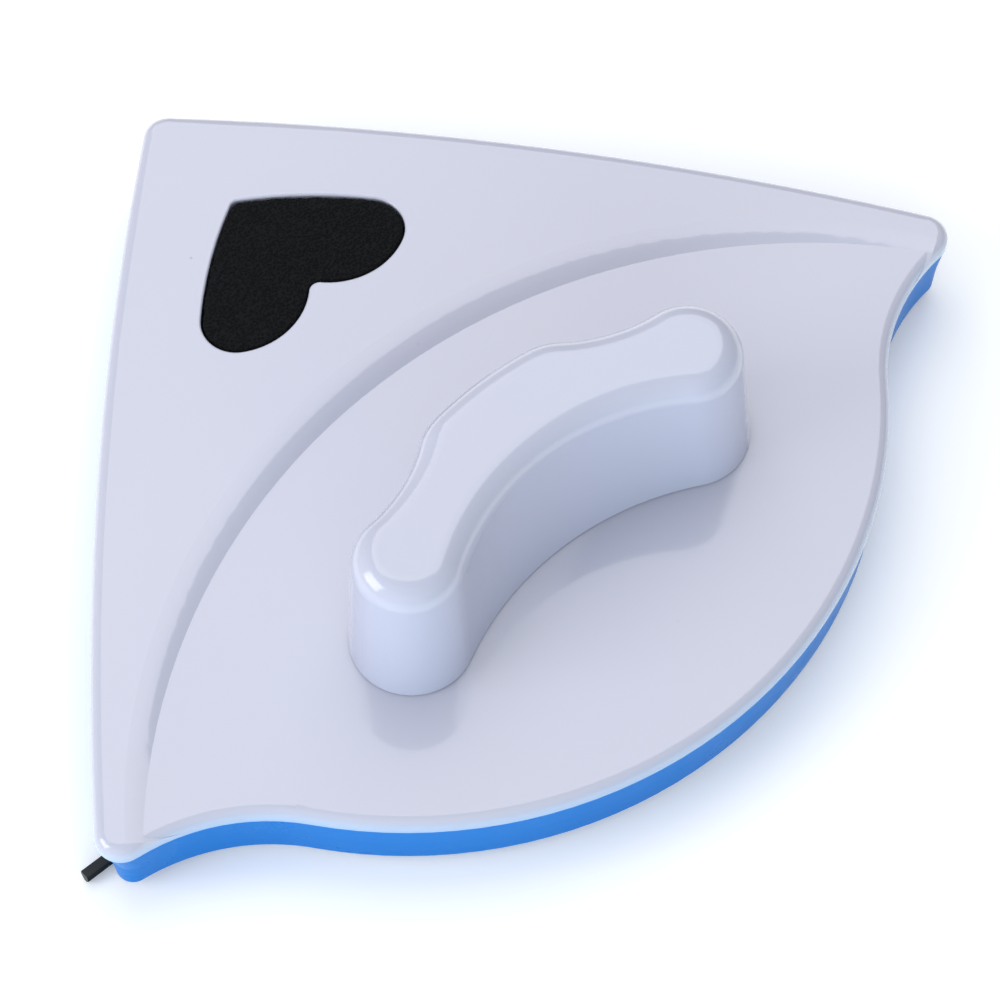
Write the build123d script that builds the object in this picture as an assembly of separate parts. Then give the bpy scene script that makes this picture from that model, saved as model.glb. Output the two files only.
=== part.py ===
from build123d import *
import os
from math import acos, cos, hypot, pi, radians, sin, sqrt, tan

# Magnetic glass cleaner, inner (hand-held) half.  Millimetres.
# Frame: +Z points away from the glass, X runs wing tip to wing tip, +Y points to the apex.
# Origin: middle of the footprint, on the glass plane that the pads and the squeegee touch.

# ---- plan outline of the casing, a fan of tangent arcs ----
HALF_DEPTH = 103.2        # origin to the apex, and to the middle of the front edge
FRONT_R = 110.1           # convex front edge
NOTCH_R = 49.5            # concave run between the front edge and a wing tip
TIP_R = 5.9               # wing tip corner
TIP_X = 119.2             # wing tip corner centre
TIP_Y = -38.0
SIDE_R = 833.0            # slightly bowed side edge
APEX_R = 5.8              # apex corner

# ---- heights above the glass ----
EDGE_Z = 3.0              # lower edge of the tray
FLOOR_Z = 6.0             # underside of the tray floor
FLOOR_T = 2.0
KNEE_Z = 11.5             # where the tray's side changes slope
SEAM_Z = 18.3             # tray meets cover
DECK_Z = 22.1             # low front deck of the cover
PLATEAU_Z = 25.0          # raised rear deck, on the centre line
HANDLE_Z = 60.6           # top of the grip
WALL = 2.2

# ---- tray side: inset from the plan outline at three heights (side, front, tip r, apex r) ----
TRAY_SEAM = (0.2, 0.2, 5.7, 5.6)
TRAY_KNEE = (2.6, 0.7, 4.7, 4.2)
TRAY_EDGE = (3.5, 1.2, 3.9, 3.4)
EDGE_ROUND = 0.8

# ---- cover ----
RIM_ROUND = 2.6
CROWN_DROP = 2.3          # the rear deck falls by this much towards each wing
CROWN_X = 120.0
STEP_R = 150.2            # foot of the step between the decks, in plan
STEP_Y = 12.9             # foot of the step on the centre line
STEP_ROUND = 14.0         # radius of the soft brow that rises from the foot
STEP_SWEEP = 62.0         # degrees each side of the centre line
STEP_SECTIONS = 11
STEP_LEAST = 0.15         # least rise of the step, outside the casing
STEP_ROOT = 3.0           # the step's slope runs on this far under the front deck
STEP_INNER_R = 100.0
BROW_LIFT = 0.01
UPSTAND = 4.0             # the deck solids reach this far below the seam before they are trimmed
SKIRT_IN = 4.6            # locating skirt inside the tray wall
SKIRT_T = 1.2
SKIRT_Z = 16.0
SKIRT_CORNER = 1.0

# ---- heart-shaped filler window ----
LOBE_X = 19.7
LOBE_Y = 46.0
LOBE_R = 8.5
LOBE_SIDE = 0.74          # radians: where a lobe meets its side
LOBE_LOW = -1.05          # radians: where a lobe meets the run to the notch
HEART_TIP_Y = 72.6
HEART_NOTCH_Y = 43.8
HEART_TIP_ROUND = 2.2
HEART_NOTCH_ROUND = 2.5
WELL_T = 1.4
WELL_LIFT = 0.4           # well wall clear of the tray floor
WELL_LIP = 0.5            # soft round of the window's upper edge
SPONGE_GAP = 0.3
SPONGE_RECESS = 0.25
DRIP_R = 1.5
DRIP_PITCH = 8.0
DRIP_Y = LOBE_Y + 6.0     # middle of the group of drip holes

# ---- grip: (lobe x, lobe y, lobe r, bulge y, hollow y) at foot and top ----
GRIP_FOOT = (41.0, -42.9, 14.2, -16.1, -47.0)
GRIP_TOP = (40.1, -41.4, 12.3, -17.0, -40.4)
BULGE_R = 90.0            # nearly flat back of the bulge
SHOULDER_X = 13.0         # where the back turns into a shoulder
SHOULDER_R = 16.0
WAIST_R = 40.0            # hollow run between a shoulder and an end lobe
GRIP_ROUND = 6.2
FOOT_GAP = 0.4            # shadow gap round the foot, the parting line
FOOT_IN = 0.5
GRIP_WALL = 2.4
GRIP_RIB_T = 1.4
GRIP_RIB_LIFT = 3.0       # ribs start this far above the deck
GRIP_CAP = 1.0            # posts and ribs stop this far under the grip's top
GRIP_PILOT = 14.0         # depth of the pilot holes
GRIP_SCREWS = [(-41.0, -42.3), (0.0, -31.0), (41.0, -42.3)]

# ---- squeegee and its channel ----
BLADE_Y = -33.4
LIP_T = 2.0
LIP_TOP = 3.3             # height of the strip that stands out past the wing tips
LIP_EDGE = 0.7            # flat that wipes the glass
LIP_WEDGE_Z = 1.1
NECK_T = 1.8
HEAD_W = 5.0
HEAD_Z = 6.6
HEAD_T = 2.0
HEAD_ROUND = 0.5
RIB_ZS = (1.5, 2.1, 2.7)  # lower edges of the lip's ribs
RIB_H = 0.4
RIB_D = 0.35
BLADE_HALF = 127.6        # half length of the lip
HEAD_HALF = 112.0         # half length of the head
CHANNEL_W = 11.0
CHANNEL_TOP = 11.0
BLADE_FIT = 0.3

# ---- pads ----
PAD_IN = 3.4              # pad edge inside the tray's lower edge
PAD_TOP = 5.2
HOOK_T = 0.5
CLOTH_T = 2.0
LOOP_T = 0.5
REAR_CORNER = 5.0
FRONT_CORNER = 3.0
HOOK_IN = 3.0             # hook sheet inside the pad's edge
HOOK_HOLE = 1.5           # clear ring round the drip holes
PAD_SPLIT = 6.6           # pad edge to the middle of the squeegee

# ---- magnets and yokes ----
MAG_X = 62.0
MAG_SIZE = (36.0, 18.0, 8.0)
MAG_Y = (-50.4, -16.4)
POCKET_T = 1.3
POCKET_H = 5.0
POCKET_GAP = 0.2
YOKE_W = 32.0
YOKE_T = 2.0
YOKE_OVER = 1.0
YOKE_CORNER = 2.0
YOKE_SCREW_DX = 10.0
MAGNET_EDGE = 0.4

# ---- ribs on the tray floor ----
FLOOR_RIB_T = 1.4
FLOOR_RIB_H = 4.0
REAR_RIB_X = 32.0
REAR_RIB_Y = 30.0         # the cross rib, and the end of the rear ribs
FRONT_RIB_X = 18.0
CROSS_RIB = (26.0, 90.0)  # the cross rib's two halves start and end here

# ---- fasteners ----
SCREW_R = 1.5
HEAD_R = 2.8
HEAD_H = 1.7
HOLE_R = 1.75
PILOT_R = SCREW_R + 0.02
BOSS_R = 3.9
BOSS_MEET_Z = 14.0
SINK = HEAD_H + 0.4       # depth of the counterbore for a case screw's head
THREAD_D = 0.35
THREAD_PITCH = 1.2
CROSS_SLOT = (3.0, 0.7, 1.0)
CASE_SCREW_L = 9.5
GRIP_SCREW_L = 14.0
YOKE_SCREW_L = 6.5
CASE_SCREWS = [(0, 82), (-58, 12), (58, 12), (-100, -20), (100, -20), (-38, -86), (38, -86)]

FAR = 200.0               # beyond the casing in every direction
PARTS_DIR = "parts"


# ------------------------------------------------------------------ plane geometry
def unit(a, b):
    """Unit vector from a to b."""
    d = hypot(b[0] - a[0], b[1] - a[1])
    return ((b[0] - a[0]) / d, (b[1] - a[1]) / d)


def along(p, direction, distance):
    """Point at a distance from p in a direction."""
    return (p[0] + direction[0] * distance, p[1] + direction[1] * distance)


def circles_meet(c1, r1, c2, r2, side):
    """Meeting point of two circles; side is +1 or -1, left or right of c1 to c2."""
    d = hypot(c2[0] - c1[0], c2[1] - c1[1])
    a = (r1 * r1 - r2 * r2 + d * d) / (2 * d)
    h = sqrt(r1 * r1 - a * a)
    u = unit(c1, c2)
    base = along(c1, u, a)
    return along(base, (-u[1], u[0]), side * h)


def arc(centre, radius, start, end):
    """Arc of less than half a turn about a centre."""
    u1 = unit(centre, start)
    u2 = unit(centre, end)
    middle = along(centre, unit((0, 0), (u1[0] + u2[0], u1[1] + u2[1])), radius)
    return ThreePointArc(start, middle, end)


def mirrored(p):
    return (-p[0], p[1])


def closed_face(edges):
    return Face(Wire(edges))


def block(x0, x1, y0, y1, z0, z1):
    """Box between two corners."""
    size = Box(x1 - x0, y1 - y0, z1 - z0)
    return Pos((x0 + x1) / 2, (y0 + y1) / 2, (z0 + z1) / 2) * size


def post(x, y, radius, z0, z1):
    """Upright cylinder between two heights."""
    return Pos(x, y, (z0 + z1) / 2) * Cylinder(radius, z1 - z0)


def prism(face, z0, z1):
    """A plan face raised from one height to another."""
    return extrude(Pos(0, 0, z0) * face, z1 - z0, dir=(0, 0, 1))


# ------------------------------------------------------------------ casing outline
FRONT_C = (0.0, FRONT_R - HALF_DEPTH)
TIP_C = (TIP_X, TIP_Y)
APEX_C = (0.0, HALF_DEPTH - APEX_R)
SIDE_C = circles_meet(APEX_C, SIDE_R - APEX_R, TIP_C, SIDE_R - TIP_R, -1)
NOTCH_C = circles_meet(FRONT_C, FRONT_R + NOTCH_R, TIP_C, NOTCH_R + TIP_R, -1)


def leaf(side_in=0.0, front_in=0.0, tip_r=TIP_R, apex_r=APEX_R):
    """Casing outline, inset by different amounts along the side edges and the front."""
    side_r = SIDE_R - side_in
    front_r = FRONT_R - front_in
    notch_r = NOTCH_R + front_in
    tip_c = circles_meet(SIDE_C, side_r - tip_r, NOTCH_C, notch_r + tip_r, 1)
    apex_c = (0.0, SIDE_C[1] + sqrt((side_r - apex_r) ** 2 - SIDE_C[0] ** 2))
    p_front = along(FRONT_C, unit(FRONT_C, NOTCH_C), front_r)
    p_notch = along(NOTCH_C, unit(NOTCH_C, tip_c), notch_r)
    p_tip = along(tip_c, unit(SIDE_C, tip_c), tip_r)
    p_apex = along(apex_c, unit(SIDE_C, apex_c), apex_r)
    runs = [
        (NOTCH_C, notch_r, p_front, p_notch),
        (tip_c, tip_r, p_notch, p_tip),
        (SIDE_C, side_r, p_tip, p_apex),
    ]
    edges = [arc(FRONT_C, front_r, mirrored(p_front), p_front)]
    edges += [arc(c, r, p, q) for c, r, p, q in runs]
    edges.append(arc(apex_c, apex_r, p_apex, mirrored(p_apex)))
    edges += [arc(mirrored(c), r, mirrored(q), mirrored(p)) for c, r, p, q in reversed(runs)]
    return closed_face(edges)


def level(low, high, share):
    """Insets part of the way between two levels."""
    return tuple(a + (b - a) * share for a, b in zip(low, high))


def inside(insets, wall):
    """The same level, moved in by a wall thickness."""
    side_in, front_in, tip_r, apex_r = insets
    return (side_in + wall, front_in + wall, max(tip_r - wall, 1.0), max(apex_r - wall, 1.0))


# ------------------------------------------------------------------ heart window
def eased_circle(centre, radius, toward, point):
    """Larger circle that touches a lobe in one direction and runs through a point."""
    v = (centre[0] - point[0], centre[1] - point[1])
    dot = v[0] * toward[0] + v[1] * toward[1]
    size = (v[0] ** 2 + v[1] ** 2 + 2 * dot * radius + radius ** 2) / (2 * (dot + radius))
    return along(centre, toward, radius - size), size


def heart(grow=0.0):
    """Heart outline with its tip towards the apex, offset outwards by grow."""
    lobe = (LOBE_X, LOBE_Y)
    up = (cos(LOBE_SIDE), sin(LOBE_SIDE))
    down = (cos(LOBE_LOW), sin(LOBE_LOW))
    side_c, side_r = eased_circle(lobe, LOBE_R, up, (0.0, HEART_TIP_Y))
    low_c, low_r = eased_circle(lobe, LOBE_R, down, (0.0, HEART_NOTCH_Y))
    side_r += grow
    low_r += grow
    tip = (0.0, side_c[1] + sqrt(side_r ** 2 - side_c[0] ** 2))
    notch = (0.0, low_c[1] - sqrt(low_r ** 2 - low_c[0] ** 2))
    p_side = along(lobe, up, LOBE_R + grow)
    p_low = along(lobe, down, LOBE_R + grow)
    runs = [
        (low_c, low_r, notch, p_low),
        (lobe, LOBE_R + grow, p_low, p_side),
        (side_c, side_r, p_side, tip),
    ]
    edges = [arc(c, r, p, q) for c, r, p, q in runs]
    edges += [arc(mirrored(c), r, mirrored(q), mirrored(p)) for c, r, p, q in reversed(runs)]
    face = closed_face(edges)
    for y, radius in ((tip[1], HEART_TIP_ROUND + grow), (notch[1], HEART_NOTCH_ROUND - grow)):
        corner = [v for v in face.vertices() if hypot(v.X, v.Y - y) < 0.01]
        face = fillet(corner, radius).faces()[0]
    return face


# ------------------------------------------------------------------ grip outline
def grip(shape, inset=0.0):
    """Kidney-shaped grip: end lobes, a bulge with two shoulders towards the apex, a hollow front."""
    lobe_x, lobe_y, lobe_r, bulge_y, hollow_y = shape
    lobe_c = (lobe_x, lobe_y)
    bulge_c = (0.0, bulge_y - BULGE_R)
    toward = (SHOULDER_X / BULGE_R, sqrt(1 - (SHOULDER_X / BULGE_R) ** 2))
    shoulder_c = along(bulge_c, toward, BULGE_R - SHOULDER_R)
    waist_c = circles_meet(shoulder_c, SHOULDER_R + WAIST_R, lobe_c, lobe_r + WAIST_R, 1)
    rise = lobe_y - hollow_y
    hollow_r = (lobe_x ** 2 + rise ** 2 - lobe_r ** 2) / (2 * (lobe_r - rise))
    hollow_c = (0.0, hollow_y - hollow_r)
    lobe_r -= inset
    shoulder_r = SHOULDER_R - inset
    waist_r = WAIST_R + inset
    p_hollow = along(lobe_c, unit(lobe_c, hollow_c), lobe_r)
    p_end = (lobe_x + lobe_r, lobe_y)
    p_lobe = along(lobe_c, unit(lobe_c, waist_c), lobe_r)
    p_waist = along(shoulder_c, unit(shoulder_c, waist_c), shoulder_r)
    p_shoulder = along(bulge_c, toward, BULGE_R - inset)
    runs = [
        (lobe_c, lobe_r, p_hollow, p_end),
        (lobe_c, lobe_r, p_end, p_lobe),
        (waist_c, waist_r, p_lobe, p_waist),
        (shoulder_c, shoulder_r, p_waist, p_shoulder),
    ]
    edges = [arc(hollow_c, hollow_r + inset, mirrored(p_hollow), p_hollow)]
    edges += [arc(c, r, p, q) for c, r, p, q in runs]
    edges.append(arc(bulge_c, BULGE_R - inset, p_shoulder, mirrored(p_shoulder)))
    edges += [arc(mirrored(c), r, mirrored(q), mirrored(p)) for c, r, p, q in reversed(runs)]
    return closed_face(edges)


# ------------------------------------------------------------------ fasteners
def screw(x, y, seat_z, length):
    """Self-tapping pan-head screw pointing up, its head under seat_z, with a cross recess."""
    core = SCREW_R - THREAD_D
    tip = core                    # length of the pointed tip
    points = [(0, 0), (core, 0)]
    z = core
    while z + THREAD_PITCH < length - tip:
        points += [(core, z), (SCREW_R, z + THREAD_D), (core, z + 2 * THREAD_D)]
        z += THREAD_PITCH
    points += [(core, length - tip), (0.2, length), (0, length)]
    shank = revolve(Plane.XZ * make_face(Polyline(points, close=True)), Axis.Z)
    head = Pos(0, 0, -HEAD_H / 2) * Cylinder(HEAD_R, HEAD_H)
    head = fillet(head.edges().sort_by(Axis.Z)[0], HEAD_H * 0.6)
    slot_l, slot_w, slot_d = CROSS_SLOT
    for angle in (0, 90):
        head -= Pos(0, 0, -HEAD_H + slot_d / 2) * Rot(0, 0, angle) * Box(slot_l, slot_w, slot_d)
    return Pos(x, y, seat_z) * (shank + head)


# ------------------------------------------------------------------ casing shells
def deck_solid(inset, drop):
    """Solid under the cover's two decks, inset all round and lowered."""
    face = leaf(inset, inset, TIP_R - inset, APEX_R - inset)
    low = prism(face, SEAM_Z - UPSTAND, DECK_Z - drop)
    high = prism(face, SEAM_Z - UPSTAND, PLATEAU_Z + 1)
    crown_r = (CROWN_X ** 2 + CROWN_DROP ** 2) / (2 * CROWN_DROP)
    crown = Rot(90, 0, 0) * Cylinder(crown_r - drop, 4 * HALF_DEPTH)
    high = high & (Pos(0, 0, PLATEAU_Z - crown_r) * crown)
    if drop == 0:
        low = round_rim(low)
        high = round_rim(high)
    high -= step_cutter(drop)
    return low + high


def step_section(angle, drop):
    """The space in front of the step, in the upright plane at one angle about the step's centre.

    The slope leaves the front deck at its steepest and eases into the rear deck, and its rise
    shrinks with the rear deck's fall towards the wings."""
    deck_z = DECK_Z - drop
    foot = STEP_R + drop / 2
    turn = 0.0
    for _ in range(6):
        x = (foot + STEP_ROUND * sin(turn)) * sin(angle)
        rise = PLATEAU_Z + BROW_LIFT - DECK_Z - CROWN_DROP * (x / CROWN_X) ** 2
        rise = max(rise, STEP_LEAST)
        turn = acos(1 - rise / STEP_ROUND)
    root = (foot - STEP_ROOT / tan(turn), deck_z - STEP_ROOT)
    brow = (foot + STEP_ROUND * sin(turn), deck_z + rise)
    top = PLATEAU_Z + 6
    corners = [brow, (brow[0], top), (STEP_INNER_R, top), (STEP_INNER_R, root[1]), root, (foot, deck_z)]
    edges = [Line(p, q) for p, q in zip(corners, corners[1:])]
    edges.append(TangentArc([corners[-1], brow], tangent=(cos(turn), sin(turn))))
    outward = (sin(angle), cos(angle), 0)
    across = (cos(angle), -sin(angle), 0)
    return Plane(origin=(0, STEP_Y - STEP_R, 0), x_dir=outward, z_dir=across) * closed_face(edges)


def step_cutter(drop):
    """Everything in front of the step and above its slope."""
    turn = radians(2 * STEP_SWEEP) / (STEP_SECTIONS - 1)
    start = -radians(STEP_SWEEP)
    band = loft([step_section(start + k * turn, drop) for k in range(STEP_SECTIONS)])
    inner = post(0, STEP_Y - STEP_R, STEP_INNER_R + 1, DECK_Z - drop - STEP_ROOT, PLATEAU_Z + 6)
    return band + inner


def round_rim(solid):
    """Round the upper edge all round a casing solid."""
    walls = [f for f in solid.faces() if abs(f.normal_at().Z) > 0.9]
    top = sorted(walls, key=lambda f: f.center().Z)[-1]
    return fillet(top.outer_wire().edges(), RIM_ROUND)


def window_edges(shell):
    """Edges round the top of the heart window."""
    found = []
    for edge in shell.edges():
        c = edge.center()
        beside = abs(c.X) < LOBE_X + LOBE_R + 1 and HEART_NOTCH_Y - LOBE_R < c.Y < HEART_TIP_Y + 1
        if beside and c.Z > PLATEAU_Z - 0.5:
            found.append(edge)
    return found


def make_top_cover():
    """White shell with a low front deck, a raised rear deck and a heart-shaped well."""
    outer = deck_solid(0.0, 0.0) - block(-FAR, FAR, -FAR, FAR, 0, SEAM_Z)
    shell = outer - deck_solid(WALL, WALL)
    inner = SKIRT_IN + SKIRT_T
    skirt = prism(leaf(SKIRT_IN, SKIRT_IN, SKIRT_CORNER, SKIRT_CORNER), SKIRT_Z, PLATEAU_Z)
    skirt -= prism(leaf(inner, inner, SKIRT_CORNER, SKIRT_CORNER), SKIRT_Z - 1, PLATEAU_Z + 1)
    gap = CHANNEL_W / 2 + 1
    skirt -= block(-FAR, FAR, BLADE_Y - gap, BLADE_Y + gap, 0, SEAM_Z)
    well = prism(heart(WELL_T), FLOOR_Z + FLOOR_T + WELL_LIFT, PLATEAU_Z)
    posts = [post(x, y, BOSS_R, BOSS_MEET_Z, PLATEAU_Z) for x, y in CASE_SCREWS]
    reach = outer + prism(leaf(WALL, WALL, TIP_R - WALL, APEX_R - WALL), 0, SEAM_Z)
    for piece in [skirt, well] + posts:
        shell += piece & reach
    shell -= prism(heart(), 0, PLATEAU_Z + 5)
    shell = fillet(window_edges(shell), WELL_LIP)
    for x, y in CASE_SCREWS:
        shell -= post(x, y, PILOT_R, BOSS_MEET_Z - 1, DECK_Z - HEAD_H)
    for x, y in GRIP_SCREWS:
        shell -= post(x, y, HOLE_R, DECK_Z - 2 * WALL, DECK_Z + 1)
    return shell


def tray_face(z, wall):
    """The tray's outline at one height, inset by a wall."""
    stops = [(EDGE_Z, TRAY_EDGE), (KNEE_Z, TRAY_KNEE), (SEAM_Z, TRAY_SEAM)]
    (z0, low), (z1, high) = stops[:2] if z <= KNEE_Z else stops[1:]
    insets = level(low, high, (z - z0) / (z1 - z0))
    return Pos(0, 0, z) * leaf(*(inside(insets, wall) if wall else insets))


def tray_solid(wall, z0, z1):
    """The tray's shape, inset by a wall, between two heights either side of its knee."""
    return loft([tray_face(z, wall) for z in (z0, KNEE_Z, z1)], ruled=True)


def make_base_tray():
    """Blue lower casing with magnet pockets, screw posts and the squeegee channel."""
    outer = tray_solid(0.0, EDGE_Z, SEAM_Z)
    outer = fillet(outer.faces().sort_by(Axis.Z)[0].outer_wire().edges(), EDGE_ROUND)
    floor_top = FLOOR_Z + FLOOR_T
    magnet_top = floor_top + MAG_SIZE[2]
    tray = outer - tray_solid(WALL, floor_top, SEAM_Z)
    tray -= prism(leaf(*inside(TRAY_EDGE, WALL)), EDGE_Z - 1, FLOOR_Z)
    half = CHANNEL_W / 2
    tray += block(-FAR, FAR, BLADE_Y - half, BLADE_Y + half, EDGE_Z, CHANNEL_TOP) & outer
    for x, y in CASE_SCREWS:
        tray += post(x, y, BOSS_R, FLOOR_Z, BOSS_MEET_Z)
    for sx in (-1, 1):
        for y in MAG_Y:
            tray += pocket(sx * MAG_X, y) & outer
    for x, y in yoke_screw_places():
        tray += post(x, y, BOSS_R, CHANNEL_TOP - 1, magnet_top)
    for rib in floor_ribs():
        tray += rib & outer
    tray -= blade_slot()
    for x, y in CASE_SCREWS:
        tray -= post(x, y, HEAD_R + 0.3, FLOOR_Z - 1, FLOOR_Z + SINK)
        tray -= post(x, y, HOLE_R, FLOOR_Z, BOSS_MEET_Z + 1)
    for x, y in yoke_screw_places():
        tray -= post(x, y, PILOT_R, magnet_top + YOKE_T - YOKE_SCREW_L - 1, magnet_top + 1)
    for x, y in drip_places():
        tray -= post(x, y, DRIP_R, FLOOR_Z - 1, floor_top + 1)
    return tray


def blade_slot():
    """T-shaped slot, open downwards and at both wing tips."""
    neck = NECK_T / 2 + BLADE_FIT
    head = HEAD_W / 2 + BLADE_FIT
    top = HEAD_Z + HEAD_T + BLADE_FIT
    slot = block(-FAR, FAR, BLADE_Y - neck, BLADE_Y + neck, EDGE_Z - 1, top)
    return slot + block(-FAR, FAR, BLADE_Y - head, BLADE_Y + head, HEAD_Z - BLADE_FIT, top)


def pocket(x, y):
    """Low wall round one magnet."""
    gx = MAG_SIZE[0] / 2 + POCKET_GAP
    gy = MAG_SIZE[1] / 2 + POCKET_GAP
    z0 = FLOOR_Z + FLOOR_T
    z1 = z0 + POCKET_H
    wall = block(x - gx - POCKET_T, x + gx + POCKET_T, y - gy - POCKET_T, y + gy + POCKET_T, FLOOR_Z, z1)
    return wall - block(x - gx, x + gx, y - gy, y + gy, z0, z1 + 1)


def floor_ribs():
    """Thin ribs that stiffen the tray floor."""
    t = FLOOR_RIB_T / 2
    z0 = FLOOR_Z + FLOOR_T / 2
    z1 = FLOOR_Z + FLOOR_T + FLOOR_RIB_H
    back = BLADE_Y + CHANNEL_W / 2 - 0.5
    front = BLADE_Y - CHANNEL_W / 2 + 0.5
    x0, x1 = CROSS_RIB
    ribs = []
    for sx in (-1, 1):
        ribs.append(block(sx * REAR_RIB_X - t, sx * REAR_RIB_X + t, back, REAR_RIB_Y, z0, z1))
        ribs.append(block(sx * FRONT_RIB_X - t, sx * FRONT_RIB_X + t, -FAR, front, z0, z1))
        ends = sorted((sx * x0, sx * x1))
        ribs.append(block(*ends, REAR_RIB_Y - t, REAR_RIB_Y + t, z0, z1))
    return ribs


def drip_places():
    """Hexagonal group of seven drip holes under the filler sponge."""
    turns = [k * pi / 3 for k in range(6)]
    ring = [(DRIP_PITCH * cos(a), DRIP_Y + DRIP_PITCH * sin(a)) for a in turns]
    return [(0.0, DRIP_Y)] + ring


def yoke_screw_places():
    return [(sx * MAG_X + dx, BLADE_Y) for sx in (-1, 1) for dx in (-YOKE_SCREW_DX, YOKE_SCREW_DX)]


# ------------------------------------------------------------------ grip
def make_handle():
    """Hollow grip, open at the foot, with three screw posts tied to its walls by ribs."""
    foot_z = DECK_Z + FOOT_GAP
    outer = loft([Pos(0, 0, foot_z) * grip(GRIP_FOOT), Pos(0, 0, HANDLE_Z) * grip(GRIP_TOP)], ruled=True)
    outer = fillet(outer.faces().sort_by(Axis.Z)[-1].outer_wire().edges(), GRIP_ROUND)
    outer += prism(grip(GRIP_FOOT, FOOT_IN), DECK_Z, foot_z)
    faces = [
        Pos(0, 0, DECK_Z - 0.01) * grip(GRIP_FOOT, GRIP_WALL),
        Pos(0, 0, HANDLE_Z - GRIP_WALL) * grip(GRIP_TOP, GRIP_WALL),
    ]
    hollow = loft(faces, ruled=True)
    hollow = fillet(hollow.faces().sort_by(Axis.Z)[-1].outer_wire().edges(), GRIP_ROUND - GRIP_WALL)
    shell = outer - hollow
    top_z = HANDLE_Z - GRIP_CAP
    rib = GRIP_RIB_T / 2
    for x, y in GRIP_SCREWS:
        shell += post(x, y, BOSS_R, DECK_Z, top_z) & outer
        shell += block(x - rib, x + rib, -FAR, FAR, DECK_Z + GRIP_RIB_LIFT, top_z) & outer
    for x, y in GRIP_SCREWS:
        shell -= post(x, y, PILOT_R, DECK_Z - 1, DECK_Z + GRIP_PILOT)
    return shell


# ------------------------------------------------------------------ squeegee
def make_squeegee():
    """Rubber wiper: a lip with a wedge edge and side ribs, a neck and a T head."""
    half = LIP_T / 2
    left = [(LIP_EDGE / 2, 0.0), (half, LIP_WEDGE_Z)]
    for z in RIB_ZS:
        left += [(half, z), (half + RIB_D, z + RIB_H / 2), (half, z + RIB_H)]
    left.append((half, LIP_TOP))
    right = [(-y, z) for y, z in reversed(left)]
    lip = Plane.YZ * make_face(Polyline(left + right, close=True))
    lip = extrude(lip, BLADE_HALF, both=True)
    neck = block(-HEAD_HALF, HEAD_HALF, -NECK_T / 2, NECK_T / 2, LIP_TOP - 0.5, HEAD_Z + 0.5)
    head = block(-HEAD_HALF, HEAD_HALF, -HEAD_W / 2, HEAD_W / 2, HEAD_Z, HEAD_Z + HEAD_T)
    head = fillet(head.edges().filter_by(Axis.X), HEAD_ROUND)
    return Pos(0, BLADE_Y, 0) * (lip + neck + head)


# ------------------------------------------------------------------ pads
def pad_plan(front, inset):
    """Plan of a pad: the casing outline on one side of the squeegee, sharp corners rounded."""
    side_in, front_in, _, _ = TRAY_EDGE
    whole = leaf(side_in + inset, front_in + inset, 1.0, 1.0)
    way = -1 if front else 1
    edge_y = BLADE_Y + way * PAD_SPLIT
    cutter = Pos(0, edge_y + way * FAR / 2) * Rectangle(2 * FAR, FAR)
    piece = (Sketch() + whole) & cutter
    corners = [v for v in piece.vertices() if abs(v.Y - edge_y) < 0.01]
    return fillet(corners, FRONT_CORNER if front else REAR_CORNER).faces()[0]


def pad_layers(front):
    """Loop backing, foam core and microfibre face of one pad, as three solids."""
    plan = pad_plan(front, PAD_IN)
    loop_z = PAD_TOP - LOOP_T
    return {
        "backing": prism(plan, loop_z, PAD_TOP),
        "foam": prism(plan, CLOTH_T, loop_z),
        "cloth": prism(plan, 0.0, CLOTH_T),
    }


def make_hook_sheet(front):
    """Hook sheet glued to the tray floor above one pad."""
    sheet = prism(pad_plan(front, PAD_IN + HOOK_IN), FLOOR_Z - HOOK_T, FLOOR_Z)
    if not front:
        sheet -= post(0, DRIP_Y, DRIP_PITCH + DRIP_R + HOOK_HOLE, 0, FLOOR_Z + 1)
    return sheet


# ------------------------------------------------------------------ everything, node by node
def make_magnet(x, y):
    """Block magnet on the tray floor."""
    magnet = Pos(x, y, FLOOR_Z + FLOOR_T + MAG_SIZE[2] / 2) * Box(*MAG_SIZE)
    return chamfer(magnet.edges(), MAGNET_EDGE)


def make_yoke(x):
    """Steel keeper across a front and a rear magnet, with two screw holes."""
    z0 = FLOOR_Z + FLOOR_T + MAG_SIZE[2]
    z1 = z0 + YOKE_T
    y0 = MAG_Y[0] - MAG_SIZE[1] / 2 - YOKE_OVER
    y1 = MAG_Y[1] + MAG_SIZE[1] / 2 + YOKE_OVER
    yoke = block(x - YOKE_W / 2, x + YOKE_W / 2, y0, y1, z0, z1)
    yoke = fillet(yoke.edges().filter_by(Axis.Z), YOKE_CORNER)
    for dx in (-YOKE_SCREW_DX, YOKE_SCREW_DX):
        yoke -= post(x + dx, BLADE_Y, HOLE_R, z0 - 1, z1 + 1)
    return yoke


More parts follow.
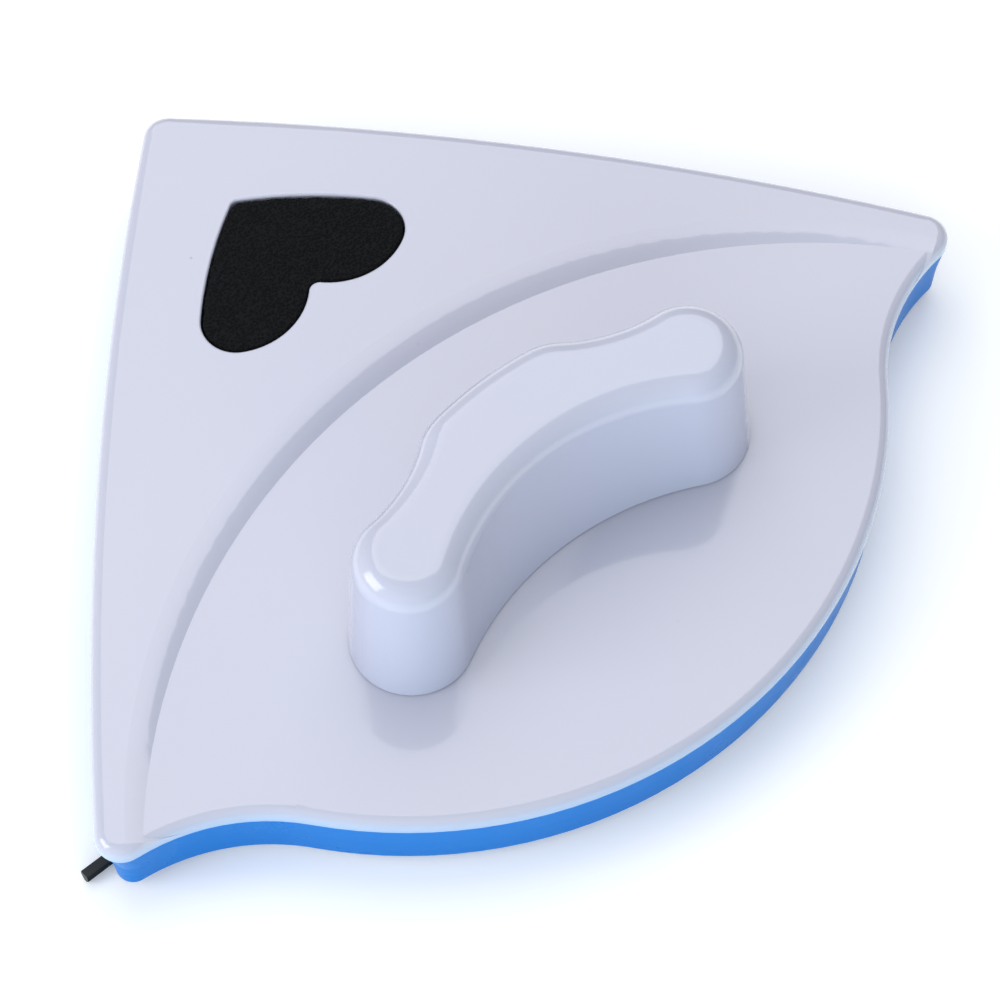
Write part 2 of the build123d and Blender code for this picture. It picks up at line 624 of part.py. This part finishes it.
def build_nodes():
    floor_top = FLOOR_Z + FLOOR_T
    yoke_top = floor_top + MAG_SIZE[2] + YOKE_T
    nodes = {
        "top_cover": make_top_cover(),
        "base_tray": make_base_tray(),
        "handle_grip": make_handle(),
        "squeegee_blade": make_squeegee(),
        "filler_sponge": prism(heart(-SPONGE_GAP), floor_top + SPONGE_GAP, PLATEAU_Z - SPONGE_RECESS),
    }
    for side, x in (("left", -MAG_X), ("right", MAG_X)):
        nodes[f"yoke_plate_{side}"] = make_yoke(x)
        for place, y in zip(("front", "rear"), MAG_Y):
            nodes[f"magnet_{side}_{place}"] = make_magnet(x, y)
    for name, front in (("front", True), ("rear", False)):
        nodes[f"hook_sheet_{name}"] = make_hook_sheet(front)
        for layer, solid in pad_layers(front).items():
            nodes[f"{name}_pad_{layer}"] = solid
    case = [screw(x, y, FLOOR_Z + SINK, CASE_SCREW_L) for x, y in CASE_SCREWS]
    grips = [screw(x, y, DECK_Z - WALL, GRIP_SCREW_L) for x, y in GRIP_SCREWS]
    upside_down = Rot(180, 0, 0) * screw(0, 0, 0, YOKE_SCREW_L)
    yokes = [Pos(x, y, yoke_top) * upside_down for x, y in yoke_screw_places()]
    for name, screws in (("case_screws", case), ("handle_screws", grips), ("yoke_screws", yokes)):
        nodes[name] = Compound(children=screws)
    return nodes


os.makedirs(PARTS_DIR, exist_ok=True)
for node, shape in build_nodes().items():
    export_step(shape, f"{PARTS_DIR}/{node}.step")
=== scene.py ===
import math

import bpy
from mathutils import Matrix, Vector, noise


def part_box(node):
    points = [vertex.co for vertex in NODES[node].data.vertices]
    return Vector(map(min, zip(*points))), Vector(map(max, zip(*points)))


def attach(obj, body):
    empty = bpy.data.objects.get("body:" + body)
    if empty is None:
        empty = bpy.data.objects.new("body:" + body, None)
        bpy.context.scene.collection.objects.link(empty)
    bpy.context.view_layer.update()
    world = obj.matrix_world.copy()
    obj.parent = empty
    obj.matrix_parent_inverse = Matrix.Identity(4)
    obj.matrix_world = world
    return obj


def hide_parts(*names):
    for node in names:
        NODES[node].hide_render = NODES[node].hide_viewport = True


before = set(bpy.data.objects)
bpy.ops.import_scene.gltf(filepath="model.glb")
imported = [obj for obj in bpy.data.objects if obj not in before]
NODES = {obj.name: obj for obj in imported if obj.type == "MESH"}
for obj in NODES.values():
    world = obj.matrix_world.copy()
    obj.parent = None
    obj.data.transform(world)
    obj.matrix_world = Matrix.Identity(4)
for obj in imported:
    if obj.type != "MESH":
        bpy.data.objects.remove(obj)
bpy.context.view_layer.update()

MM = 0.001

# ---- camera: where the viewer stands, as angles about the object ----
CAMERA_AZIMUTH = -40.3          # degrees, from the front towards the left wing
CAMERA_ELEVATION = 60.7
CAMERA_DISTANCE = 0.9735
CAMERA_TARGET = Vector((0.0038, -0.0203, 0.003))
CAMERA_LENS = 151.2
SENSOR = 36.0
CLIP_START = 10.0 * MM

# ---- floor and light ----
FLOOR_HALF = 3.0                # half the floor's side, in metres
FLOOR_DROP = 0.02 * MM          # keeps the floor clear of the pads
FLOOR_ROUGHNESS = 0.8
# painted light: the floor glows a little, lifting the shadows on and near it
FLOOR_GLOW = 0.18
FLOOR_PALE = (0.96, 0.955, 0.95)
FLOOR_PALER = (0.975, 0.97, 0.965)
FLOOR_GLOW_TONE = (1.0, 0.99, 0.97)
SKY = (0.93, 0.96, 1.0)
WORLD_LEFT = 0.85               # strength of the even light on the left wing's side
WORLD_RIGHT = 0.38
LIGHT_WHITE = (1.0, 1.0, 1.0)
LIGHT_COOL = (0.62, 0.86, 1.0)
# name, direction, distance and size in metres, watts, colour, whether gloss mirrors it
PANELS = (
    ("softbox_over", (0.316, 0.373, 0.872), 1.2, (1.1, 1.1), 5.4, LIGHT_WHITE, True),
    ("key_left", (-0.85, 0.30, 0.55), 1.1, (0.6, 0.6), 3.6, LIGHT_WHITE, True),
    ("fill_front", (-0.85, -0.85, 0.36), 1.2, (1.5, 0.7), 5.6, LIGHT_COOL, False),
)

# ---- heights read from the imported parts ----
SEAM_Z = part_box("base_tray")[1].z
EDGE_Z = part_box("base_tray")[0].z

# ---- pads: diamond stitching ----
ROOT_2 = math.sqrt(2.0)
STITCH_PITCH = 22.0 * MM        # between two lines of stitches
THREAD_STEP = 3.6 * MM          # one stitch and the gap to the next
PILLOW = 0.7 * MM               # how far a stitched line is drawn in
PILLOW_RUN = 2.6 * MM
PUCKER = 0.25 * MM              # uneven fullness from one diamond to the next
PUCKER_SCALE = 60.0

# ---- soft pieces: mesh size, smoothing, and noise layers as (scale, depth) ----
SMOOTH_FACTOR = 0.5
SPONGE_VOXEL = 0.6 * MM
SPONGE_SMOOTHING = 3
SPONGE_SINK = 0.2 * MM
SPONGE_PORES = ((900.0, 0.22 * MM), (2100.0, 0.12 * MM))
FACE_VOXEL = 1.2 * MM
FACE_SMOOTHING = 3
FACE_NAP = ((700.0, 0.16 * MM), (1500.0, 0.10 * MM))
CORE_VOXEL = 1.0 * MM
CORE_SMOOTHING = 4
CORE_PORES = ((800.0, 0.15 * MM),)

# ---- sockets of the colour mix node ----
MIX_A, MIX_B, MIX_RESULT = 6, 7, 2


# ------------------------------------------------------------------ node graphs
class Graph:
    """Short calls for building one procedural material."""

    def __init__(self, name, color, roughness, **sockets):
        self.material = bpy.data.materials.new(name)
        self.material.use_nodes = True
        self.tree = self.material.node_tree
        self.bsdf = self.tree.nodes["Principled BSDF"]
        self.bsdf.inputs["Base Color"].default_value = (*color, 1.0)
        self.bsdf.inputs["Roughness"].default_value = roughness
        for key, value in sockets.items():
            self.bsdf.inputs[key.replace("_", " ")].default_value = value
        self.where = self.node("ShaderNodeTexCoord").outputs["Object"]

    def node(self, kind, **settings):
        made = self.tree.nodes.new(kind)
        for key, value in settings.items():
            setattr(made, key, value)
        return made

    def link(self, source, target):
        self.tree.links.new(source, target)

    def stretch(self, scale):
        mapping = self.node("ShaderNodeMapping")
        mapping.inputs["Scale"].default_value = scale
        self.link(self.where, mapping.inputs["Vector"])
        return mapping.outputs["Vector"]

    def noise(self, scale, detail=3.0, rough=0.5, where=None, distortion=0.0):
        made = self.node("ShaderNodeTexNoise")
        made.inputs["Scale"].default_value = scale
        made.inputs["Detail"].default_value = detail
        made.inputs["Roughness"].default_value = rough
        made.inputs["Distortion"].default_value = distortion
        self.link(where or self.where, made.inputs["Vector"])
        return made.outputs["Fac"]

    def cells(self, scale, where=None, out="Distance"):
        made = self.node("ShaderNodeTexVoronoi", feature="F1")
        made.inputs["Scale"].default_value = scale
        made.inputs["Randomness"].default_value = 1.0
        self.link(where or self.where, made.inputs["Vector"])
        return made.outputs[out]

    def span(self, value, low, high, to_low=0.0, to_high=1.0):
        made = self.node("ShaderNodeMapRange")
        made.inputs["From Min"].default_value = low
        made.inputs["From Max"].default_value = high
        made.inputs["To Min"].default_value = to_low
        made.inputs["To Max"].default_value = to_high
        self.link(value, made.inputs["Value"])
        return made.outputs["Result"]

    def height(self, low, high):
        """0 below one height of the object, 1 above another."""
        split = self.node("ShaderNodeSeparateXYZ")
        self.link(self.where, split.inputs["Vector"])
        return self.span(split.outputs["Z"], low, high)

    def math(self, operation, a, b):
        made = self.node("ShaderNodeMath", operation=operation)
        for socket, value in zip(made.inputs, (a, b)):
            if isinstance(value, (int, float)):
                socket.default_value = value
            else:
                self.link(value, socket)
        return made.outputs["Value"]

    def mix(self, factor, a, b):
        made = self.node("ShaderNodeMix", data_type="RGBA")
        self.link(factor, made.inputs["Factor"])
        for index, value in ((MIX_A, a), (MIX_B, b)):
            if isinstance(value, tuple):
                made.inputs[index].default_value = (*value, 1.0)
            else:
                self.link(value, made.inputs[index])
        return made.outputs[MIX_RESULT]

    def bump(self, value, strength, distance, under=None):
        made = self.node("ShaderNodeBump")
        made.inputs["Strength"].default_value = strength
        made.inputs["Distance"].default_value = distance
        self.link(value, made.inputs["Height"])
        if under is not None:
            self.link(under, made.inputs["Normal"])
        return made.outputs["Normal"]

    def color(self, source):
        self.link(source, self.bsdf.inputs["Base Color"])

    def roughness(self, source):
        self.link(source, self.bsdf.inputs["Roughness"])

    def normal(self, source):
        self.link(source, self.bsdf.inputs["Normal"])


# ------------------------------------------------------------------ materials
# Linear colours, read as red, green, blue.
WHITE = (0.53, 0.535, 0.65)
WHITE_WARM = (0.55, 0.55, 0.65)
GRIP_WHITE = (0.54, 0.56, 0.69)
DUST = (0.22, 0.22, 0.28)
FIBRE = (0.78, 0.80, 0.85)
FIBRE_COOL = (0.70, 0.74, 0.82)
# painted shade: grey-blue for the pile between the tufts
FIBRE_PAINTED_SHADE = (0.40, 0.45, 0.56)
THREAD = (0.05, 0.22, 0.60)
# painted shade: cyan-tinted shade for the cover's rim over the seam
RIM_PAINTED_SHADE = (0.27, 0.47, 0.72)
BLUE = (0.004, 0.158, 0.52)
BLUE_FLOW = (0.005, 0.171, 0.55)
# painted light: paler blues for the top of the tray's side
BLUE_PAINTED_LIT = (0.006, 0.178, 0.57)
BLUE_PAINTED_LIT_FLOW = (0.007, 0.190, 0.60)
SPONGE_SKIN = (0.006, 0.006, 0.007)
# painted shade: the darkness inside the sponge's pores
SPONGE_PAINTED_PIT_SHADE = (0.002, 0.002, 0.0025)
SPONGE_WALL = (0.0075, 0.008, 0.0095)
SPONGE_FLUFF = (0.022, 0.024, 0.030)
RUBBER = (0.012, 0.013, 0.013)
RUBBER_DEEP = (0.010, 0.011, 0.011)
RUBBER_BLOOM = (0.030, 0.033, 0.031)
FOAM = (0.10, 0.27, 0.52)
# painted shade: the darker blue inside the foam's pores
FOAM_PAINTED_PORE_SHADE = (0.05, 0.17, 0.38)
FOAM_PALE = (0.13, 0.33, 0.60)
LOOP = (0.30, 0.32, 0.36)
# painted shade: between the yarns of the loop backing
LOOP_PAINTED_SHADE = (0.10, 0.11, 0.13)
HOOK = (0.055, 0.057, 0.062)
# painted shade: between the yarns of the hook sheet
HOOK_PAINTED_SHADE = (0.012, 0.012, 0.014)
NICKEL = (0.66, 0.64, 0.60)
ZINC = (0.58, 0.60, 0.62)
BOLT = (0.60, 0.60, 0.58)
YARN_LENGTH = 0.45              # scale along a yarn, as a share of the scale across it
NAP_SCALE = 1.7                 # how much finer the nap is than the yarns
SPANGLE_SHADE = 0.82            # dull grains of plating, as a share of the bright ones
RIM_H = 3.4 * MM                # height of the cover's rounded rim over the seam, the band given painted cyan shade


def gloss_white(name, tone, tone_b, coat, rim):
    """Gloss ABS: cool white, soft flow variation, orange peel, uneven gloss, stray specks; on request,
    painted cyan shade on the band over the seam.
    """
    g = Graph(name, tone, 0.16, Specular_IOR_Level=0.5, Coat_Weight=1.0, Coat_Roughness=coat)
    flow = g.span(g.noise(9.0, detail=2.0, distortion=0.6), 0.3, 0.7)
    body = g.mix(flow, tone, tone_b)
    if rim:
        # painted shade: the band over the seam turns cyan, as if shaded and lit blue by the tray
        body = g.mix(g.height(SEAM_Z + RIM_H, SEAM_Z), body, RIM_PAINTED_SHADE)
    rare = g.noise(31.0, detail=1.0)
    dust = g.math("MULTIPLY", g.span(g.cells(95.0), 0.045, 0.02), g.span(rare, 0.58, 0.64))
    g.color(g.mix(g.math("MULTIPLY", dust, 0.45), body, DUST))
    g.roughness(g.span(g.noise(26.0, detail=5.0, rough=0.6), 0.2, 0.8, 0.11, 0.20))
    peel = g.bump(g.noise(420.0, detail=2.0, rough=0.4), 0.05, 0.05 * MM)
    g.normal(g.bump(g.noise(60.0, detail=2.0), 0.05, 0.08 * MM, peel))
    return g.material


def tray_blue():
    """Bright blue ABS with a faint moulded grain, with painted light making it a little paler towards
    the seam.
    """
    g = Graph("tray_blue_abs", BLUE, 0.3, IOR=1.22, Specular_IOR_Level=0.2)
    flow = g.span(g.noise(14.0, detail=2.0), 0.35, 0.65)
    body = g.mix(flow, BLUE, BLUE_FLOW)
    # painted light: the tray's side grows paler from its lower edge up to the seam
    body = g.mix(g.height(EDGE_Z, SEAM_Z), body, g.mix(flow, BLUE_PAINTED_LIT, BLUE_PAINTED_LIT_FLOW))
    g.color(body)
    g.roughness(g.span(g.noise(60.0, detail=4.0), 0.3, 0.7, 0.24, 0.36))
    grain = g.bump(g.noise(1400.0, detail=2.0, rough=0.6), 0.10, 0.05 * MM)
    g.normal(g.bump(g.noise(160.0, detail=2.0), 0.04, 0.06 * MM, grain))
    return g.material


def sponge_black():
    """Open-cell foam: near-black, paler fuzzy cell walls, and painted shade darkening the pores
    between them.
    """
    g = Graph("sponge_black_foam", SPONGE_SKIN, 0.95, Specular_IOR_Level=0.15, Sheen_Weight=0.02)
    pores = g.cells(1500.0)
    walls = g.span(pores, 0.25, 0.75)
    # painted shade: pore centres, where the bump sinks, are darker than the walls
    walls_and_painted_pits = g.mix(walls, SPONGE_PAINTED_PIT_SHADE, SPONGE_WALL)
    fluff = g.span(g.noise(900.0, detail=5.0, rough=0.7), 0.62, 0.80)
    g.color(g.mix(fluff, walls_and_painted_pits, SPONGE_FLUFF))
    deep = g.bump(pores, 0.8, 0.5 * MM)
    g.normal(g.bump(g.noise(2600.0, detail=4.0, rough=0.7), 0.5, 0.25 * MM, deep))
    return g.material


def rubber_black():
    """Extruded rubber: satin, with fine lines along its length and a dusty bloom."""
    g = Graph("rubber_black_strip", RUBBER, 0.45, Specular_IOR_Level=0.4)
    bloom = g.span(g.noise(70.0, detail=4.0), 0.45, 0.75)
    g.color(g.mix(bloom, RUBBER_DEEP, RUBBER_BLOOM))
    g.roughness(g.span(g.noise(45.0), 0.3, 0.7, 0.38, 0.58))
    lines = g.noise(1.0, where=g.stretch((12.0, 2400.0, 2400.0)))
    g.normal(g.bump(lines, 0.25, 0.08 * MM))
    return g.material


def steel(name, tone, rough, grain):
    """Plated steel with a rolling direction and dull spangle."""
    g = Graph(name, tone, rough, Metallic=1.0)
    spangle = g.cells(220.0, out="Color")
    g.color(g.mix(g.span(spangle, 0.2, 0.8), tone, tuple(c * SPANGLE_SHADE for c in tone)))
    g.roughness(g.span(g.noise(90.0, detail=4.0), 0.3, 0.7, rough - 0.08, rough + 0.1))
    lines = g.noise(1.0, rough=0.6, where=g.stretch(grain))
    g.normal(g.bump(lines, 0.2, 0.03 * MM))
    return g.material


def woven(name, tone, painted_shade_tone, scale, depth, sheen):
    """Brushed cloth: crossed yarns under a fuzzy nap, with painted shade in the low spots between the
    yarns.
    """
    g = Graph(name, tone, 0.9, Sheen_Weight=sheen, Sheen_Roughness=0.5)
    yarn = g.math("MULTIPLY",
                  g.cells(1.0, where=g.stretch((scale, scale * YARN_LENGTH, scale))),
                  g.cells(1.0, where=g.stretch((scale * YARN_LENGTH, scale, scale))))
    nap = g.noise(scale * NAP_SCALE, detail=6.0, rough=0.75)
    # painted shade: the cloth darkens where the yarns and nap are low
    g.color(g.mix(g.span(g.math("ADD", yarn, nap), 0.35, 1.1), painted_shade_tone, tone))
    base = g.bump(yarn, 0.6, depth)
    g.normal(g.bump(nap, 0.7, depth, base))
    return g.material


def microfibre():
    """White microfibre pile: short tufts, a brushed nap with painted shade between the tufts, and
    dashed blue stitching.
    """
    g = Graph("microfibre_white", FIBRE, 0.95, Sheen_Weight=0.5, Sheen_Roughness=0.5)
    tufts = g.cells(620.0)
    nap = g.noise(1500.0, detail=6.0, rough=0.75)
    pile = g.span(g.math("ADD", tufts, nap), 0.45, 1.3)
    shade = g.mix(g.noise(45.0), FIBRE, FIBRE_COOL)
    # painted shade: the white goes grey-blue at the tuft borders and in the nap
    body = g.mix(pile, shade, FIBRE_PAINTED_SHADE)
    split = g.node("ShaderNodeSeparateXYZ")
    g.link(g.where, split.inputs["Vector"])
    ways = [g.math(sign, split.outputs["X"], split.outputs["Y"]) for sign in ("ADD", "SUBTRACT")]
    half = ROOT_2 * STITCH_PITCH / 2
    for way, other in (ways, reversed(ways)):
        across = g.math("PINGPONG", way, half)
        dash = g.math("PINGPONG", other, ROOT_2 * THREAD_STEP / 2)
        line = g.math("MULTIPLY", g.span(across, 0.5 * MM, 0.3 * MM), g.span(dash, 0.7 * MM, 0.9 * MM))
        body = g.mix(line, body, THREAD)
    g.color(body)
    g.normal(g.bump(nap, 0.8, 0.3 * MM, g.bump(tufts, 0.7, 0.5 * MM)))
    return g.material


def foam_blue():
    """Fine closed-cell foam, with painted shade darkening the pores."""
    g = Graph("foam_blue_core", FOAM, 0.85, Sheen_Weight=0.05)
    pores = g.cells(1700.0)
    # painted shade: pore centres, where the bump sinks, are darker than the walls
    g.color(g.mix(g.span(pores, 0.1, 0.6), FOAM_PAINTED_PORE_SHADE, FOAM_PALE))
    g.normal(g.bump(pores, 0.6, 0.25 * MM))
    return g.material


def soft_materials():
    return {
        "foam_blue": foam_blue(),
        "cloth_white": microfibre(),
        "loop_grey": woven("loop_grey_cloth", LOOP, LOOP_PAINTED_SHADE, 900.0, 0.3 * MM, 0.3),
    }


def dress_nodes():
    """A procedural material for every CAD node that stays visible."""
    cover = gloss_white("cover_white_abs", WHITE, WHITE_WARM, 0.05, True)
    grip = gloss_white("grip_white_abs", WHITE, GRIP_WHITE, 0.13, False)
    blue = tray_blue()
    rubber = rubber_black()
    nickel = steel("magnet_nickel", NICKEL, 0.28, (700.0, 700.0, 700.0))
    zinc = steel("yoke_zinc", ZINC, 0.36, (1800.0, 30.0, 1800.0))
    bolt = steel("screw_zinc", BOLT, 0.30, (900.0, 900.0, 2000.0))
    hooks = woven("hook_nylon", HOOK, HOOK_PAINTED_SHADE, 700.0, 0.5 * MM, 0.1)
    chosen = {
        "top_cover": cover, "handle_grip": grip, "base_tray": blue, "squeegee_blade": rubber,
        "yoke_plate_left": zinc, "yoke_plate_right": zinc,
        "hook_sheet_front": hooks, "hook_sheet_rear": hooks,
        "case_screws": bolt, "handle_screws": bolt, "yoke_screws": bolt,
    }
    for side in ("left", "right"):
        for place in ("front", "rear"):
            chosen[f"magnet_{side}_{place}"] = nickel
    for name, material in chosen.items():
        mesh = NODES[name].data
        mesh.materials.clear()
        mesh.materials.append(material)


# ------------------------------------------------------------------ soft pieces
def copy_of(node, name):
    """A new object with the mesh of a CAD node."""
    made = bpy.data.objects.new(name, NODES[node].data.copy())
    bpy.context.scene.collection.objects.link(made)
    return made


def apply_modifiers(obj):
    depsgraph = bpy.context.evaluated_depsgraph_get()
    mesh = bpy.data.meshes.new_from_object(obj.evaluated_get(depsgraph))
    obj.modifiers.clear()
    old = obj.data
    obj.data = mesh
    bpy.data.meshes.remove(old)


def remesh(obj, voxel):
    modifier = obj.modifiers.new("remesh", "REMESH")
    modifier.mode = "VOXEL"
    modifier.voxel_size = voxel
    modifier.use_smooth_shade = True
    apply_modifiers(obj)


def smooth(obj, turns):
    modifier = obj.modifiers.new("smooth", "SMOOTH")
    modifier.iterations = turns
    modifier.factor = SMOOTH_FACTOR
    apply_modifiers(obj)


def shape(obj, rule):
    """Move every vertex to where a rule of its place and its normal puts it."""
    before = [(v.co.copy(), v.normal.copy()) for v in obj.data.vertices]
    after = [c for place, normal in before for c in rule(place, normal)]
    obj.data.vertices.foreach_set("co", after)
    obj.data.update()


def set_material(obj, material):
    obj.data.materials.clear()
    obj.data.materials.append(material)
    for polygon in obj.data.polygons:
        polygon.use_smooth = True


def roughness_at(place, layers):
    """How far layers of noise lift the surface at a place."""
    return sum(noise.noise(place * scale) * depth for scale, depth in layers)


def between(place, low, high):
    """The place, kept between two heights."""
    place.z = min(max(place.z, low.z), high.z)
    return place


def make_sponge():
    """Filler sponge: edges rounded, its skin broken by pores."""
    sponge = copy_of("filler_sponge", "filler_sponge_foam")
    remesh(sponge, SPONGE_VOXEL)
    smooth(sponge, SPONGE_SMOOTHING)
    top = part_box("filler_sponge")[1].z

    def pores(place, normal):
        moved = place + normal * (roughness_at(place, SPONGE_PORES) - SPONGE_SINK)
        moved.z = min(moved.z, top)
        return moved

    shape(sponge, pores)
    set_material(sponge, sponge_black())
    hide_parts("filler_sponge")
    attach(sponge, "sponge")


def stitch_distance(x, y):
    """Distance to the nearest line of the diagonal stitching."""
    half = STITCH_PITCH / 2
    return min(abs((way + half) % STITCH_PITCH - half) for way in ((x + y) / ROOT_2, (x - y) / ROOT_2))


def make_face(side):
    """Microfibre face of a pad: stitched in a diamond lattice, plump between the stitches."""
    node = f"{side}_pad_cloth"
    low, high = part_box(node)
    face = copy_of(node, f"{side}_pad_face")
    remesh(face, FACE_VOXEL)
    smooth(face, FACE_SMOOTHING)

    def quilt(place, normal):
        share = (high.z - place.z) / (high.z - low.z)
        drawn_in = PILLOW * math.exp(-stitch_distance(place.x, place.y) / PILLOW_RUN)
        lift = share * (drawn_in + noise.noise(place * PUCKER_SCALE) * PUCKER)
        return place + Vector((0.0, 0.0, lift))

    def brush(place, normal):
        return between(place + normal * roughness_at(place, FACE_NAP), low, high)

    shape(face, quilt)
    divide = face.modifiers.new("divide", "SUBSURF")
    divide.levels = divide.render_levels = 1
    apply_modifiers(face)
    shape(face, brush)
    return face


def make_core(side):
    """Foam core of a pad, its cut edge rounded and open-pored."""
    node = f"{side}_pad_foam"
    low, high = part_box(node)
    core = copy_of(node, f"{side}_pad_core")
    remesh(core, CORE_VOXEL)
    smooth(core, CORE_SMOOTHING)

    def pores(place, normal):
        return between(place + normal * roughness_at(place, CORE_PORES), low, high)

    shape(core, pores)
    return core


def make_pad(side, materials):
    """One wash pad: loop backing, foam core and microfibre face."""
    backing_node = f"{side}_pad_backing"
    backing = copy_of(backing_node, f"{side}_pad_loops")
    core = make_core(side)
    face = make_face(side)
    pieces = (
        (core, "foam", "foam_blue"),
        (face, "cloth", "cloth_white"),
        (backing, "backing", "loop_grey"),
    )
    for obj, layer, slot in pieces:
        set_material(obj, materials[slot])
        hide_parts(f"{side}_pad_{layer}")
        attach(obj, f"{side}_pad")
    for polygon in backing.data.polygons:
        polygon.use_smooth = False


# ------------------------------------------------------------------ stage
def add_camera():
    azimuth = math.radians(CAMERA_AZIMUTH)
    elevation = math.radians(CAMERA_ELEVATION)
    back = Vector((
        math.sin(azimuth) * math.cos(elevation),
        -math.cos(azimuth) * math.cos(elevation),
        math.sin(elevation),
    ))
    data = bpy.data.cameras.new("camera")
    data.lens = CAMERA_LENS
    data.sensor_width = SENSOR
    data.clip_start = CLIP_START
    camera = bpy.data.objects.new("camera", data)
    camera.location = CAMERA_TARGET + back * CAMERA_DISTANCE
    camera.rotation_euler = back.to_track_quat("Z", "Y").to_euler()
    bpy.context.scene.collection.objects.link(camera)
    bpy.context.scene.camera = camera


def add_area(name, direction, distance, size, power, color, mirrored):
    """Soft panel that shines on the object from one direction; gloss shows it where mirrored."""
    data = bpy.data.lights.new(name, "AREA")
    data.shape = "RECTANGLE"
    data.size, data.size_y = size
    data.energy = power
    data.color = color
    panel = bpy.data.objects.new(name, data)
    way = Vector(direction).normalized()
    panel.location = way * distance
    panel.rotation_euler = way.to_track_quat("Z", "Y").to_euler()
    bpy.context.scene.collection.objects.link(panel)
    panel.visible_camera = False
    panel.visible_glossy = mirrored


def add_floor():
    mesh = bpy.data.meshes.new("floor")
    half = FLOOR_HALF
    corners = [(-half, -half, 0), (half, -half, 0), (half, half, 0), (-half, half, 0)]
    mesh.from_pydata(corners, [], [(0, 1, 2, 3)])
    floor = bpy.data.objects.new("floor", mesh)
    bpy.context.scene.collection.objects.link(floor)
    floor.location.z = -FLOOR_DROP
    g = Graph("floor_pale", FLOOR_PALE, FLOOR_ROUGHNESS, Emission_Strength=FLOOR_GLOW)
    g.bsdf.inputs["Emission Color"].default_value = (*FLOOR_GLOW_TONE, 1.0)
    g.color(g.mix(g.noise(3.0), FLOOR_PALE, FLOOR_PALER))
    mesh.materials.append(g.material)


def add_light():
    """Pale studio: light all round that falls off to the right, and three soft panels."""
    world = bpy.data.worlds.new("studio")
    world.use_nodes = True
    background = world.node_tree.nodes["Background"]
    background.inputs["Color"].default_value = (*SKY, 1.0)
    tree = world.node_tree
    split = tree.nodes.new("ShaderNodeSeparateXYZ")
    tree.links.new(tree.nodes.new("ShaderNodeTexCoord").outputs["Generated"], split.inputs["Vector"])
    sides = tree.nodes.new("ShaderNodeMapRange")
    sides.inputs["From Min"].default_value = -1.0
    sides.inputs["To Min"].default_value = WORLD_LEFT
    sides.inputs["To Max"].default_value = WORLD_RIGHT
    tree.links.new(split.outputs["X"], sides.inputs["Value"])
    tree.links.new(sides.outputs["Result"], background.inputs["Strength"])
    bpy.context.scene.world = world
    for panel in PANELS:
        add_area(*panel)
    bpy.context.scene.view_settings.view_transform = "Standard"


add_camera()
add_floor()
add_light()
dress_nodes()
make_sponge()
soft = soft_materials()
make_pad("front", soft)
make_pad("rear", soft)
